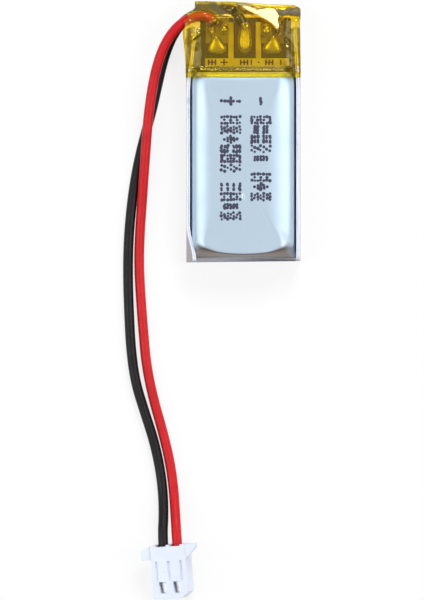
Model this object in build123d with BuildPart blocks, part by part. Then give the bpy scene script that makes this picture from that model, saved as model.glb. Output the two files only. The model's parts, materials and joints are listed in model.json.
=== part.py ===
from build123d import *
import math
import os

# Single-cell lithium polymer pack with its protection board, leads and plug.
# Millimetres. The pack lies flat on its back: +Z is up through its thickness, +Y runs
# from the folded end of the pouch to the protection board, and the origin is at the
# middle of the footprint of the pack without its leads.

os.makedirs("parts", exist_ok=True)

# Pouch: one laminate sheet folded at the lower end and sealed on three sides.
laminate = 0.15
pouch_width = 10.0
cell_thickness = 4.0
cup_length = 16.33
terrace_length = 3.67
seam_height = 3.3
seam_overhang = 0.35
seam_gap = 0.12
seam_bend_radius = 0.12
cup_lean_side = 0.10
cup_lean_fold = 0.45
cup_lean_end = 0.15
cup_corner_radius = 1.0
cup_edge_radius = 0.9
seal_channel = 2.04125

# Polyimide tape cap over the board end.
tape_thickness = 0.08
tape_gap = 0.02
tape_cover = 0.70
tape_reach = 2.35
tape_hollow = 3.52
tape_end_height = 2.6
tape_end_inset = 0.35
tape_end_flat = 1.45
tape_end_shoulder = 0.3
tape_end_narrowing = 0.5
tape_dip_end = 0.6
shoulder_share = 0.6
top_share = 0.3
slot_length = 2.0
slot_height = 2.80
slot_bottom = 0.50
slot_depth = 1.0

# Wound electrodes: four sheets rolled together into a flat spiral.
anode_thickness = 0.14
cathode_thickness = 0.13
separator_thickness = 0.03
winding_gap = 0.02
winding_tape_thickness = 0.04
roll_clearance = 0.075
turns = 3
roll_width = 8.5
roll_length = 13.9
roll_end_gap = 0.60
separator_margin = 0.35
cathode_margin = 0.25
anode_start_gap = 0.30

# Tabs and the sealant film where they leave the pouch.
tab_width = 2.0
tab_thickness = 0.10
tab_grip = 2.4
tab_bend_radius = 0.22
tab_edge_gap = 0.05
film_thickness = 0.04
film_side = 0.25
film_overhang = 0.40

# Protection board and what is on it.
foam_thickness = 0.45
foam_width = 7.4
foam_length = 3.1
board_width = 7.95
board_length = 4.3
board_thickness = 0.6
board_shift = 0.175
board_gap = 0.27
board_corner_radius = 0.2
component_room = 0.65
component_clearance = 0.02
pad_width = 1.7
pad_length = 2.6
pad_thickness = 0.04
pad_pitch = 2.4
pad_inset = 0.45
solder_height = 0.55
solder_taper = 18
flare_width = 1.9
flare_neck = 1.1
flare_length = 1.6
blob_radius = 0.58
blob_top_share = 0.6
bead_width = 1.25
bead_length = 2.75
ic_size = (1.6, 1.6, 0.55)
mosfet_size = (2.8, 2.0, 0.62)
resistor_size = (1.0, 0.5, 0.35)
capacitor_size = (0.5, 1.0, 0.5)
terminal_width = 0.30
terminal_height = 0.12
terminal_reach = 0.15
terminal_gap = 0.01
terminals_per_side = 3
chip_chamfer_share = 0.08
resistor_spacing = 1.8
mosfet_offset = (1.35, -0.05)
ic_offset = (-1.55, 0.20)
capacitor_offset = 3.45
resistor_offset = -3.25

# Leads: 28 AWG stranded cores in PVC.
lead_diameter = 0.86
lead_bore = 0.46
core_diameter = 0.38
lead_strip = 0.45

# Plug: two-way 1.25 mm pitch crimp housing, lying a little rolled on its edge.
plug_centre = (-6.24, -38.45)
plug_yaw = 4.0
plug_roll = 12.0
plug_pitch = 1.25
plug_width = 3.10
plug_length = 4.70
plug_thickness = 2.60
plug_key_width = 0.60
plug_key_length = 0.50
cavity_side_clearance = 0.03
cavity_top_clearance = 0.06
front_wall = 0.35
pin_opening = 0.60
ear_width = 4.85
ear_length = 1.25
ear_thickness = 0.95
ear_top_gap = 0.15
ear_slope = 0.70
window_length = 1.0
window_wide = 0.72
window_narrow = 0.46
window_front = 0.50
groove_width = 0.20
groove_depth = 0.14
groove_length = 1.70
groove_rear = 1.40
groove_share = 0.87
contact_width = 0.84
contact_height = 0.90
contact_wall = 0.10
contact_length = 2.5
contact_front_gap = 0.45
lance_width = 0.40
lance_length = 0.80
lance_rise = 0.27
lance_root = 0.05
lance_setback = 0.1
crimp_width = 0.56
crimp_length = 0.50
crimp_clearance = 0.05
crimp_wall = 0.07
grip_wall = 0.05
grip_length = 0.55
grip_setback = 0.15
grip_clearance = 0.01
wire_stop = 1.75
core_stop = 0.90
wire_aim = 3.20

# Places along the pack that follow from the sizes above.
pack_length = seam_overhang + cup_length + terrace_length + tape_reach
fold_y = -pack_length / 2 + seam_overhang
cup_end = fold_y + cup_length
terrace_end = cup_end + terrace_length
tape_start = cup_end - tape_cover
tape_end = terrace_end + tape_reach
half_width = pouch_width / 2
cup_width = pouch_width - 2 * (2 * laminate + seam_gap)
cavity_top = cell_thickness - laminate
seam_top = 2 * laminate

film_width = tab_width + 2 * film_side
seal_stack = tab_thickness + 2 * film_thickness
ridge_top = 2 * laminate + seal_stack
tab_seal_z = laminate + film_thickness

foam_top = ridge_top + foam_thickness
board_bottom = foam_top + component_room + component_clearance
board_top = board_bottom + board_thickness
pad_top = board_top + pad_thickness
board_start = cup_end + board_gap
board_end = board_start + board_length
board_middle = (board_start + board_end) / 2
pad_middle = board_end - pad_inset - pad_length / 2
middle_pad_x = board_shift - 0.075
pad_places = {
    "positive": middle_pad_x - pad_pitch,
    "lead": middle_pad_x,
    "negative": middle_pad_x + pad_pitch,
}

# Lead routes, from the solder joint on the board to the crimp in the plug. The red
# lead lies on the black one beside the pack, and both lie on the table from there on.
red_route = [
    (-2.20, 9.40, 2.66), (-3.35, 10.05, 2.86), (-4.65, 9.86, 2.80), (-5.75, 9.12, 2.66),
    (-6.60, 8.05, 2.45), (-7.26, 6.66, 2.20), (-7.76, 4.90, 1.95), (-8.10, 2.95, 1.72),
    (-8.36, 0.90, 1.54), (-8.52, -1.30, 1.34), (-8.70, -3.60, 1.08), (-8.86, -6.00, 0.72),
    (-9.06, -8.60, 0.47), (-9.16, -11.50, 0.43), (-9.00, -14.50, 0.43), (-8.76, -17.60, 0.43),
    (-8.50, -20.50, 0.43), (-7.90, -23.40, 0.43), (-7.06, -26.30, 0.43), (-6.42, -29.00, 0.43),
    (-6.10, -31.40, 0.60), (-5.96, -33.50, 1.15),
]
black_route = [
    (0.10, 8.95, 2.60), (-0.38, 9.95, 2.80), (-1.15, 10.66, 2.40), (-2.20, 10.70, 1.62),
    (-3.35, 10.55, 1.18), (-4.45, 10.18, 1.05), (-5.35, 9.55, 0.98), (-6.05, 8.60, 0.88),
    (-6.62, 7.40, 0.75), (-7.10, 5.90, 0.58), (-7.52, 4.10, 0.46), (-7.95, 2.10, 0.43),
    (-8.50, 0.10, 0.43), (-9.05, -2.00, 0.43), (-9.52, -4.40, 0.43), (-9.86, -7.00, 0.43),
    (-10.08, -9.80, 0.43), (-10.12, -12.80, 0.43), (-10.02, -15.90, 0.43), (-9.86, -19.00, 0.43),
    (-9.48, -21.90, 0.43), (-8.68, -24.50, 0.43), (-7.86, -27.00, 0.43), (-7.32, -29.40, 0.43),
    (-7.04, -31.60, 0.55), (-6.98, -33.60, 1.00),
]


def save(piece, label):
    piece.part.label = label
    export_step(piece.part, f"parts/{label}.step")


# ---------------------------------------------------------------- pouch


def cup_block(inset):
    """Closed block of the drawn cup, drawn in by inset on every side but the open one."""
    base_y = (fold_y + inset, cup_end - inset)
    top_y = (base_y[0] + cup_lean_fold, base_y[1] - cup_lean_end)
    base_x = cup_width - 2 * inset
    top_x = base_x - 2 * cup_lean_side
    corner = cup_corner_radius - inset
    with BuildPart() as block:
        with BuildSketch(Plane.XY.offset(laminate)):
            with Locations((0, sum(base_y) / 2)):
                RectangleRounded(base_x, base_y[1] - base_y[0], corner)
        with BuildSketch(Plane.XY.offset(cell_thickness - inset)):
            with Locations((0, sum(top_y) / 2)):
                RectangleRounded(top_x, top_y[1] - top_y[0], corner)
        loft()
        fillet(block.faces().sort_by(Axis.Z)[-1].edges(), cup_edge_radius - inset)
    return block.part


def side_seam(outer, foot):
    """Outline of one seam layer: a channel lying on its web, its sides standing up."""
    Polygon(
        (-outer, seam_height), (-outer, foot), (outer, foot), (outer, seam_height),
        (outer - laminate, seam_height), (outer - laminate, foot + laminate),
        (-outer + laminate, foot + laminate), (-outer + laminate, seam_height), align=None,
    )


seam_length = terrace_end - fold_y + seam_overhang
seam_start = Plane.XZ.offset(seam_overhang - fold_y)

with BuildPart() as pouch_back:
    with BuildSketch(seam_start):
        side_seam(half_width, 0)
    extrude(amount=-seam_length)
    # The web stops at the fold, and the seams run on past it.
    with Locations((0, fold_y - seam_overhang / 2, laminate / 2)):
        Box(2 * (half_width - laminate), seam_overhang, laminate, mode=Mode.SUBTRACT)
    # The sheet is pressed thinner where the tape wraps it, so that the back stays flush.
    with Locations((0, tape_start, 0)):
        Box(
            pouch_width, pack_length, tape_thickness + tape_gap / 2,
            align=(Align.CENTER, Align.MIN, Align.MIN), mode=Mode.SUBTRACT,
        )
    outer_bends = pouch_back.edges().filter_by(Axis.Y).filter_by_position(Axis.Z, -0.01, 0.01)
    fillet(outer_bends.sort_by(Axis.X)[0], seam_bend_radius)
    outer_bends = pouch_back.edges().filter_by(Axis.Y).filter_by_position(Axis.Z, -0.01, 0.01)
    fillet(outer_bends.sort_by(Axis.X)[-1], seam_bend_radius)
save(pouch_back, "pouch_back")

with BuildPart() as pouch_cup:
    with BuildSketch(seam_start):
        side_seam(half_width - laminate, laminate)
    extrude(amount=-seam_length)
    with Locations((0, fold_y - seam_overhang / 2, laminate * 1.5)):
        Box(2 * (half_width - 2 * laminate), seam_overhang, laminate, mode=Mode.SUBTRACT)
    # Ridges where the terrace rises over the tabs.
    with Locations(
        (pad_places["positive"], cup_end, seam_top), (pad_places["negative"], cup_end, seam_top)
    ):
        Box(
            film_width + 2 * laminate, terrace_length, seal_stack,
            align=(Align.CENTER, Align.MIN, Align.MIN),
        )
    add(cup_block(0))
    add(cup_block(laminate), mode=Mode.SUBTRACT)
    with Locations(
        (pad_places["positive"], cup_end - seal_channel, laminate),
        (pad_places["negative"], cup_end - seal_channel, laminate),
    ):
        Box(
            film_width, terrace_length + seal_channel, seal_stack,
            align=(Align.CENTER, Align.MIN, Align.MIN), mode=Mode.SUBTRACT,
        )
save(pouch_cup, "pouch_cup")

# ---------------------------------------------------------------- wound electrodes

winding_pitch = anode_thickness + cathode_thickness + 2 * separator_thickness + 4 * winding_gap
roll_height = cavity_top - laminate - 2 * roll_clearance
roll_outer = (roll_height - winding_pitch) / 2
anode_at = roll_outer - turns * winding_pitch - winding_tape_thickness
inner_separator_at = anode_at + anode_thickness + winding_gap
cathode_at = inner_separator_at + separator_thickness + winding_gap
outer_separator_at = cathode_at + cathode_thickness + winding_gap
winding_tape_at = outer_separator_at + separator_thickness + winding_gap
roll_straight = (roll_width - 2 * roll_outer - winding_pitch / 2) / 2
roll_x = winding_pitch / 4
roll_top = fold_y + laminate + roll_end_gap + roll_length
roll_z = (laminate + cavity_top - winding_pitch) / 2


def winding_line(radius, first_turn, start_x):
    """One face of a sheet in the spiral, from its start to its end over the top."""
    for turn in range(first_turn, turns):
        height = radius + turn * winding_pitch
        begin = start_x if turn == first_turn else -roll_straight
        Line((begin, height), (roll_straight, height))
        ThreePointArc((roll_straight, height), (roll_straight + height, 0), (roll_straight, -height))
        Line((roll_straight, -height), (-roll_straight, -height))
        left = -roll_straight - height - winding_pitch / 2
        ThreePointArc(
            (-roll_straight, -height), (left, winding_pitch / 2),
            (-roll_straight, height + winding_pitch),
        )


def wound_sheet(label, radius, thickness, margin, first_turn, start_x):
    last = turns * winding_pitch
    first = first_turn * winding_pitch
    outer = radius + thickness
    top_plane = Plane(origin=(roll_x, roll_top - margin, roll_z), x_dir=(1, 0, 0), z_dir=(0, -1, 0))
    with BuildPart() as sheet:
        with BuildSketch(top_plane):
            with BuildLine():
                winding_line(radius, first_turn, start_x)
                winding_line(outer, first_turn, start_x)
                Line((start_x, radius + first), (start_x, outer + first))
                Line((-roll_straight, radius + last), (-roll_straight, outer + last))
            make_face()
        extrude(amount=roll_length - 2 * margin)
    save(sheet, label)


tab_start_x = pad_places["positive"] - roll_x + tab_width / 2 + tab_edge_gap
wound_sheet(
    "anode_foil", anode_at, anode_thickness, separator_margin, 0, tab_start_x + anode_start_gap
)
wound_sheet(
    "separator_inner", inner_separator_at, separator_thickness, 0, 0, tab_start_x
)
wound_sheet(
    "cathode_foil", cathode_at, cathode_thickness, separator_margin + cathode_margin, 0, -roll_straight
)
wound_sheet(
    "separator_outer", outer_separator_at, separator_thickness, 0, 0, -roll_straight
)
wound_sheet(
    "winding_tape", winding_tape_at, winding_tape_thickness, separator_margin, turns - 1, -roll_straight
)

# ---------------------------------------------------------------- tabs and sealant films


def make_tab(label, place_x, face_z):
    """Strip from the foil it is welded to, through the seal, round the board to its pad."""
    outer_y = board_end + tab_edge_gap + tab_thickness
    with BuildPart() as tab:
        with BuildSketch(Plane.YZ.offset(place_x)):
            with BuildLine():
                FilletPolyline(
                    (roll_top - tab_grip, face_z - tab_thickness),
                    (roll_top + tab_bend_radius, face_z - tab_thickness),
                    (cup_end - laminate - tab_bend_radius - tab_thickness, tab_seal_z),
                    (outer_y, tab_seal_z),
                    (outer_y, pad_top + tab_thickness),
                    (pad_middle - pad_length / 2 + flare_length / 2, pad_top + tab_thickness),
                    radius=tab_bend_radius,
                )
                offset(amount=tab_thickness, side=Side.LEFT)
            make_face()
        extrude(amount=tab_width / 2, both=True)
        # Inside the roll the strip keeps to the flat of the winding.
        flat_left = roll_x - roll_straight + tab_edge_gap
        flat_right = roll_x + roll_straight - tab_edge_gap
        for edge_x, side in ((flat_left, Align.MAX), (flat_right, Align.MIN)):
            with Locations((edge_x, roll_top - tab_grip - 1, 0)):
                Box(
                    tab_width, tab_grip + 1 + tab_edge_gap, cell_thickness,
                    align=(side, Align.MIN, Align.MIN), mode=Mode.SUBTRACT,
                )
    save(tab, label)
    return tab


def make_film(label, tab, place_x):
    start_y = cup_end - laminate
    with BuildPart() as film:
        with Locations((place_x, start_y, laminate)):
            Box(
                film_width, terrace_end + film_overhang - start_y, seal_stack,
                align=(Align.CENTER, Align.MIN, Align.MIN),
            )
        add(tab.part, mode=Mode.SUBTRACT)
    save(film, label)


positive_tab = make_tab("positive_tab", pad_places["positive"], roll_z + cathode_at)
negative_tab = make_tab("negative_tab", pad_places["negative"], roll_z + anode_at)
make_film("positive_tab_film", positive_tab, pad_places["positive"])
make_film("negative_tab_film", negative_tab, pad_places["negative"])

# ---------------------------------------------------------------- protection board

with BuildPart() as board_insulation:
    with Locations((board_shift, board_middle, ridge_top)):
        Box(foam_width, foam_length, foam_thickness, align=(Align.CENTER, Align.CENTER, Align.MIN))
save(board_insulation, "board_insulation")

with BuildPart() as circuit_board:
    with BuildSketch(Plane.XY.offset(board_bottom)):
        with Locations((board_shift, board_middle)):
            RectangleRounded(board_width, board_length, board_corner_radius)
    extrude(amount=board_thickness)
save(circuit_board, "circuit_board")

with BuildPart() as board_pads:
    with BuildSketch(Plane.XY.offset(board_top)):
        with Locations(*[(x, pad_middle) for x in pad_places.values()]):
            Rectangle(pad_width, pad_length)
    extrude(amount=pad_thickness)
save(board_pads, "board_pads")


def hang_chip(label, size, place_x, place_y):
    """Body of a part soldered to the underside of the board."""
    with BuildPart() as chip:
        with Locations((place_x, place_y, board_bottom)):
            Box(*size, align=(Align.CENTER, Align.CENTER, Align.MAX))
        lower_edges = chip.faces().sort_by(Axis.Z)[0].edges()
        chamfer(lower_edges, chip_chamfer_share * size[2])
    save(chip, label)


def hang_leads(label, size, place_x, place_y):
    """Solder terminals along the two ends of a chip."""
    reach_x = size[0] / 2 + terminal_reach / 2 + terminal_gap
    with BuildPart() as leads:
        with Locations((place_x, place_y, board_bottom)):
            with GridLocations(2 * reach_x, size[1] / terminals_per_side, 2, terminals_per_side):
                Box(
                    terminal_reach, terminal_width, terminal_height,
                    align=(Align.CENTER, Align.CENTER, Align.MAX),
                )
    save(leads, label)


mosfet_place = (board_shift + mosfet_offset[0], board_middle + mosfet_offset[1])
ic_place = (board_shift + ic_offset[0], board_middle + ic_offset[1])
hang_chip("mosfet_pair", mosfet_size, *mosfet_place)
hang_leads("mosfet_leads", mosfet_size, *mosfet_place)
hang_chip("protection_ic", ic_size, *ic_place)
hang_leads("protection_ic_leads", ic_size, *ic_place)
hang_chip("chip_capacitor", capacitor_size, board_shift + capacitor_offset, board_middle)

with BuildPart() as chip_resistors:
    with Locations((board_shift + resistor_offset, board_middle, board_bottom)):
        with GridLocations(0, resistor_spacing, 1, 2):
            Box(*resistor_size, align=(Align.CENTER, Align.CENTER, Align.MAX))
save(chip_resistors, "chip_resistors")

# ---------------------------------------------------------------- plug place

plug_rest = (
    plug_thickness / 2 * math.cos(math.radians(plug_roll))
    + plug_width / 2 * math.sin(math.radians(plug_roll))
)
plug_plane = Plane(Pos(*plug_centre, plug_rest) * Rot(Z=plug_yaw) * Rot(Y=-plug_roll))
circuit_x = {"negative": -plug_pitch / 2, "positive": plug_pitch / 2}
rear_y = plug_length / 2
groove_offset = plug_pitch * groove_share
front_y = -plug_length / 2
grip_outer = lead_diameter / 2 + grip_clearance + grip_wall
cavity_width = 2 * (grip_outer + cavity_side_clearance)
cavity_height = 2 * (grip_outer + cavity_top_clearance)

# ---------------------------------------------------------------- leads


def plug_point(name, along):
    return tuple(plug_plane.from_local_coords(Vector(circuit_x[name], along, 0)))


def bend_radii(points):
    """The largest arc at each point that its two runs leave room for."""
    radii = []
    for before, here, after in zip(points, points[1:], points[2:]):
        run_in = Vector(*here) - Vector(*before)
        run_out = Vector(*after) - Vector(*here)
        half_turn = math.radians(run_in.get_angle(run_out)) / 2
        radii.append(0.45 * min(run_in.length, run_out.length) / math.tan(half_turn))
    return radii


def make_lead(label, points, radii, outer, inner):
    with BuildPart() as lead:
        with BuildLine() as route:
            FilletPolyline(*points, radius=radii)
        path = route.wires()[0]
        with BuildSketch(Plane(origin=path @ 0, z_dir=path % 0)):
            Circle(outer / 2)
            if inner:
                Circle(inner / 2, mode=Mode.SUBTRACT)
        sweep()
    save(lead, label)
    swept = math.pi * (outer**2 - inner**2) / 4 * path.length
    print(f"{label}: length {path.length:.2f}, volume over swept {lead.part.volume / swept:.4f}")


def make_pair(colour, route, circuit):
    """A lead and its core. The core runs on past the stripped ends of the lead."""
    whole = route + [plug_point(circuit, wire_aim), plug_point(circuit, core_stop)]
    radii = bend_radii(whole)
    print(colour, "radii:", [round(radius, 2) for radius in radii])
    make_lead(f"{colour}_lead_core", whole, radii, core_diameter, 0)
    start = Vector(*whole[0]) + (Vector(*whole[1]) - Vector(*whole[0])) * lead_strip
    covered = [tuple(start)] + whole[1:-1] + [plug_point(circuit, wire_stop)]
    make_lead(f"{colour}_lead", covered, radii, lead_diameter, lead_bore)


make_pair("red", red_route, "positive")
make_pair("black", black_route, "negative")

# ---------------------------------------------------------------- solder


def core_end(route):
    """The straight end of a core, from where it is soldered to where it first bends."""
    first = Vector(*route[0])
    run = Vector(*route[1]) - first
    with BuildPart() as end:
        with BuildSketch(Plane(origin=first, z_dir=run)):
            Circle(core_diameter / 2)
        extrude(amount=run.length / 2)
    return end.part


pad_foot = pad_middle - pad_length / 2


def flared_joint(label, place_x, cuts):
    """Solder drawn out wide over the lower half of the pad, under a round blob."""
    with BuildPart() as joint:
        with BuildSketch(Plane.XY.offset(pad_top)):
            Polygon(
                (place_x - flare_width / 2, pad_foot), (place_x + flare_width / 2, pad_foot),
                (place_x + flare_neck / 2, pad_foot + flare_length),
                (place_x - flare_neck / 2, pad_foot + flare_length), align=None,
            )
        extrude(amount=solder_height, taper=solder_taper)
        with Locations((place_x, pad_foot + pad_length - blob_radius, pad_top)):
            Cone(
                blob_radius, blob_radius * blob_top_share, solder_height,
                align=(Align.CENTER, Align.CENTER, Align.MIN),
            )
        for cut in cuts:
            add(cut, mode=Mode.SUBTRACT)
    save(joint, label)


def bead_joint(label, place_x, cuts):
    """Solder run along the pad, round at the end that the lead comes in by."""
    bead_end = pad_foot + bead_length - bead_width / 2
    with BuildPart() as joint:
        with BuildSketch(Plane.XY.offset(pad_top)):
            with Locations((place_x, (pad_foot + bead_end) / 2)):
                Rectangle(bead_width, bead_end - pad_foot)
        extrude(amount=solder_height, taper=solder_taper)
        with Locations((place_x, bead_end, pad_top)):
            Cone(
                bead_width / 2, bead_width / 2 * blob_top_share, solder_height,
                align=(Align.CENTER, Align.CENTER, Align.MIN),
            )
        for cut in cuts:
            add(cut, mode=Mode.SUBTRACT)
    save(joint, label)


flared_joint(
    "solder_positive", pad_places["positive"], (positive_tab.part, core_end(red_route))
)
bead_joint("solder_black_lead", pad_places["lead"], (core_end(black_route),))
flared_joint("solder_negative", pad_places["negative"], (negative_tab.part,))

# ---------------------------------------------------------------- tape

tape_half = half_width + tape_gap + tape_thickness
tape_shoulder = seam_height + 3 * tape_gap + tape_thickness
tape_top = cell_thickness + tape_gap + tape_thickness
tape_top_half = cup_width / 2 - cup_edge_radius + 3 * tape_thickness + 2 * tape_gap


def tape_shell(inset, start_y, end_y):
    """Block of the taped end, drawn in by inset."""
    sections = (
        (start_y, tape_half, tape_shoulder, tape_top_half, tape_top),
        (cup_end, tape_half, tape_shoulder, tape_top_half, tape_top),
        (board_start + tape_dip_end, tape_half, tape_shoulder, tape_top_half, tape_hollow),
        (tape_end - tape_end_flat, tape_half, tape_shoulder, tape_top_half, tape_hollow),
        (
            end_y, tape_half - tape_end_inset, tape_end_height - tape_end_shoulder,
            tape_top_half - tape_end_narrowing, tape_end_height,
        ),
    )
    with BuildPart() as block:
        for along, half, shoulder, top_half, top in sections:
            with BuildSketch(Plane(origin=(0, along, 0), x_dir=(1, 0, 0), z_dir=(0, -1, 0))):
                with BuildLine():
                    Polyline(
                        (-half + inset, inset), (half - inset, inset),
                        (half - inset, shoulder - inset * shoulder_share), (top_half - inset * top_share, top - inset),
                        (-top_half + inset * top_share, top - inset), (-half + inset, shoulder - inset * shoulder_share),
                        close=True,
                    )
                make_face()
        loft(ruled=True)
    return block.part


with BuildPart() as polyimide_tape:
    add(tape_shell(0, tape_start, tape_end))
    # The hollow runs out past the open end.
    add(tape_shell(tape_thickness, tape_start - 1, tape_end - tape_thickness), mode=Mode.SUBTRACT)
    # Slot in the left side for the two leads.
    with Locations((-tape_half - slot_depth / 5, terrace_end - tab_edge_gap, slot_bottom)):
        Box(
            slot_depth, slot_length, slot_height,
            align=(Align.MIN, Align.MIN, Align.MIN), mode=Mode.SUBTRACT,
        )
save(polyimide_tape, "polyimide_tape")

# ---------------------------------------------------------------- plug

with BuildPart(plug_plane) as connector_housing:
    with BuildSketch(plug_plane):
        with BuildLine():
            Polyline(
                (-plug_width / 2, rear_y), (-plug_width / 2, front_y),
                (plug_width / 2 - plug_key_width, front_y),
                (plug_width / 2, front_y + plug_key_length), (plug_width / 2, rear_y), close=True,
            )
        make_face()
    extrude(amount=plug_thickness / 2, both=True)
    # Ears at the rear: one slopes to the back, the other to the front.
    ear_bottom = plug_thickness / 2 - ear_top_gap - ear_thickness
    with BuildSketch(plug_plane.offset(ear_bottom)):
        with BuildLine():
            Polyline(
                (0, rear_y), (-plug_width / 2, rear_y), (-ear_width / 2, rear_y - ear_slope / 2),
                (-ear_width / 2, rear_y - ear_length), (0, rear_y - ear_length), close=True,
            )
        make_face()
        with BuildLine():
            Polyline(
                (0, rear_y), (ear_width / 2, rear_y), (ear_width / 2, rear_y - ear_slope / 2),
                (plug_width / 2, rear_y - ear_length), (0, rear_y - ear_length), close=True,
            )
        make_face()
    extrude(amount=ear_thickness)
    # Circuit cavities from the rear, with an opening for each pin in the front wall.
    with Locations(*[(x, rear_y, 0) for x in circuit_x.values()]):
        Box(
            cavity_width, plug_length - front_wall, cavity_height,
            align=(Align.CENTER, Align.MAX, Align.CENTER), mode=Mode.SUBTRACT,
        )
    with Locations(*[(x, front_y, 0) for x in circuit_x.values()]):
        Box(
            pin_opening, 2 * front_wall, pin_opening,
            align=(Align.CENTER, Align.CENTER, Align.CENTER), mode=Mode.SUBTRACT,
        )
    # Lance windows in the upper face.
    with BuildSketch(plug_plane.offset(plug_thickness / 2)):
        for x in circuit_x.values():
            with BuildLine():
                Polyline(
                    (x - window_wide / 2, front_y + window_front + window_length),
                    (x - window_narrow / 2, front_y + window_front),
                    (x + window_narrow / 2, front_y + window_front),
                    (x + window_wide / 2, front_y + window_front + window_length), close=True,
                )
            make_face()
    extrude(amount=-plug_thickness / 2, mode=Mode.SUBTRACT)
    # Grooves beside the two circuit ducts.
    with Locations(*[
        (x, rear_y - groove_rear, plug_thickness / 2)
        for x in (-groove_offset, 0, groove_offset)
    ]):
        Box(
            groove_width, groove_length, 2 * groove_depth,
            align=(Align.CENTER, Align.MAX, Align.CENTER), mode=Mode.SUBTRACT,
        )
save(connector_housing, "connector_housing")

contact_front = front_y + contact_front_gap
contact_rear = contact_front + contact_length
strip_z = -contact_height / 2 + contact_wall / 2

for circuit, x in circuit_x.items():
    with BuildPart(plug_plane) as terminal:
        # Contact box that the pin slides into.
        with Locations((x, contact_front, 0)):
            Box(
                contact_width, contact_length, contact_height,
                align=(Align.CENTER, Align.MIN, Align.CENTER),
            )
            Box(
                contact_width - 2 * contact_wall, contact_length, contact_height - 2 * contact_wall,
                align=(Align.CENTER, Align.MIN, Align.CENTER), mode=Mode.SUBTRACT,
            )
        # Floor strip back to the crimps.
        with Locations((x, contact_rear, strip_z)):
            Box(
                crimp_width, wire_stop - contact_rear - crimp_clearance, contact_wall,
                align=(Align.CENTER, Align.MIN, Align.CENTER),
            )
        # Core crimp.
        with Locations((x, core_stop + crimp_clearance, -contact_height / 2)):
            Box(
                crimp_width, crimp_length, contact_height / 2 + core_diameter / 2 + crimp_wall,
                align=(Align.CENTER, Align.MIN, Align.MIN),
            )
        with Locations((x, core_stop + crimp_clearance, 0)):
            Cylinder(
                core_diameter / 2 + grip_clearance, 2 * crimp_length, rotation=(90, 0, 0),
                mode=Mode.SUBTRACT,
            )
        # Insulation grip.
        with Locations((x, wire_stop - grip_setback + grip_length / 2, 0)):
            Cylinder(grip_outer, grip_length, rotation=(90, 0, 0))
            Cylinder(
                lead_diameter / 2 + grip_clearance, grip_length, rotation=(90, 0, 0),
                mode=Mode.SUBTRACT,
            )
        # Locking lance.
        lance_start = front_y + window_front + window_length - lance_setback
        with BuildSketch(Plane(
            origin=plug_plane.from_local_coords(Vector(x, lance_start, contact_height / 2)),
            x_dir=-plug_plane.y_dir, z_dir=plug_plane.x_dir,
        )):
            with BuildLine():
                Polyline((0, -lance_root), (0, lance_rise), (lance_length, -lance_root), close=True)
            make_face()
        extrude(amount=lance_width / 2, both=True)
    save(terminal, f"terminal_{circuit}")
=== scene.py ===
import json
import math

import bmesh
import bpy
from mathutils import Matrix, Vector, noise


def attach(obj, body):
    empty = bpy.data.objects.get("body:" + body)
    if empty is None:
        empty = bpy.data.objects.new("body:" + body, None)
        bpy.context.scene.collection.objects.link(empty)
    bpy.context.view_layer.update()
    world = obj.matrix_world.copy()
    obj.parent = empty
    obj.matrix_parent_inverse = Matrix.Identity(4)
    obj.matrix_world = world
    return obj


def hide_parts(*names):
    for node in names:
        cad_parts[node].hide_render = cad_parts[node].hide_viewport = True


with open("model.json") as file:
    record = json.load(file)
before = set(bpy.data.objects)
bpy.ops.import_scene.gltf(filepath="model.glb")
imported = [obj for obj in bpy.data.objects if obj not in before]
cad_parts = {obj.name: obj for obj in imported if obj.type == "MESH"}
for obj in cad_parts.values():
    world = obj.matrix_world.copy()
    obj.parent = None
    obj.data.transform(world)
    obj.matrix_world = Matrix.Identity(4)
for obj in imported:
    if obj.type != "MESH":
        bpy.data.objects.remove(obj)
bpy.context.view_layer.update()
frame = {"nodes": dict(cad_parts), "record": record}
mm = 0.001
body = "root"


def paint(red, green, blue):
    # 0-255 display values to the linear colour that Blender wants
    def straight(c):
        c = c / 255
        return c / 12.92 if c <= 0.04045 else ((c + 0.055) / 1.055) ** 2.4
    return (straight(red), straight(green), straight(blue), 1.0)


def smooth(low, high, value):
    t = max(0.0, min(1.0, (value - low) / (high - low)))
    return t * t * (3 - 2 * t)


def mix(a, b, t):
    return a + (b - a) * t


def waver(x, y, across, along, cut, height):
    # smooth unevenness of a sheet, up to the given height
    return noise.noise(Vector((x * across, y * along, cut))) * height


def newPiece(name, verts, faces, flat=False):
    mesh = bpy.data.meshes.new(name)
    mesh.from_pydata([tuple(c * mm for c in v) for v in verts], [], faces)
    work = bmesh.new()
    work.from_mesh(mesh)
    bmesh.ops.remove_doubles(work, verts=work.verts, dist=1e-7)
    bmesh.ops.recalc_face_normals(work, faces=work.faces)
    work.to_mesh(mesh)
    work.free()
    if not flat:
        mesh.shade_smooth()
    piece = bpy.data.objects.new(name, mesh)
    bpy.context.scene.collection.objects.link(piece)
    return piece


def bakeModifiers(piece):
    bpy.context.view_layer.update()
    graph = bpy.context.evaluated_depsgraph_get()
    mesh = bpy.data.meshes.new_from_object(piece.evaluated_get(graph))
    piece.modifiers.clear()
    piece.data = mesh


def thicken(piece, thickness, offset):
    wall = piece.modifiers.new("sheet", "SOLIDIFY")
    wall.thickness = thickness * mm
    wall.offset = offset
    bakeModifiers(piece)
    return piece


def fitPiece(piece, material, slot, *nodes):
    piece.data.materials.clear()
    piece.data.materials.append(material)
    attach(piece, body)
    if nodes:
        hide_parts(*nodes)
    print("made", piece.name)


def loft(rings, caps=True):
    # rings of points with the same count, joined into one skin
    count = len(rings[0])
    verts = [p for ring in rings for p in ring]
    faces = []
    for r in range(len(rings) - 1):
        for i in range(count):
            j = (i + 1) % count
            faces.append((r * count + i, r * count + j, (r + 1) * count + j, (r + 1) * count + i))
    if caps:
        faces.append(tuple(range(count)))
        faces.append(tuple((len(rings) - 1) * count + i for i in range(count)))
    return verts, faces


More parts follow.
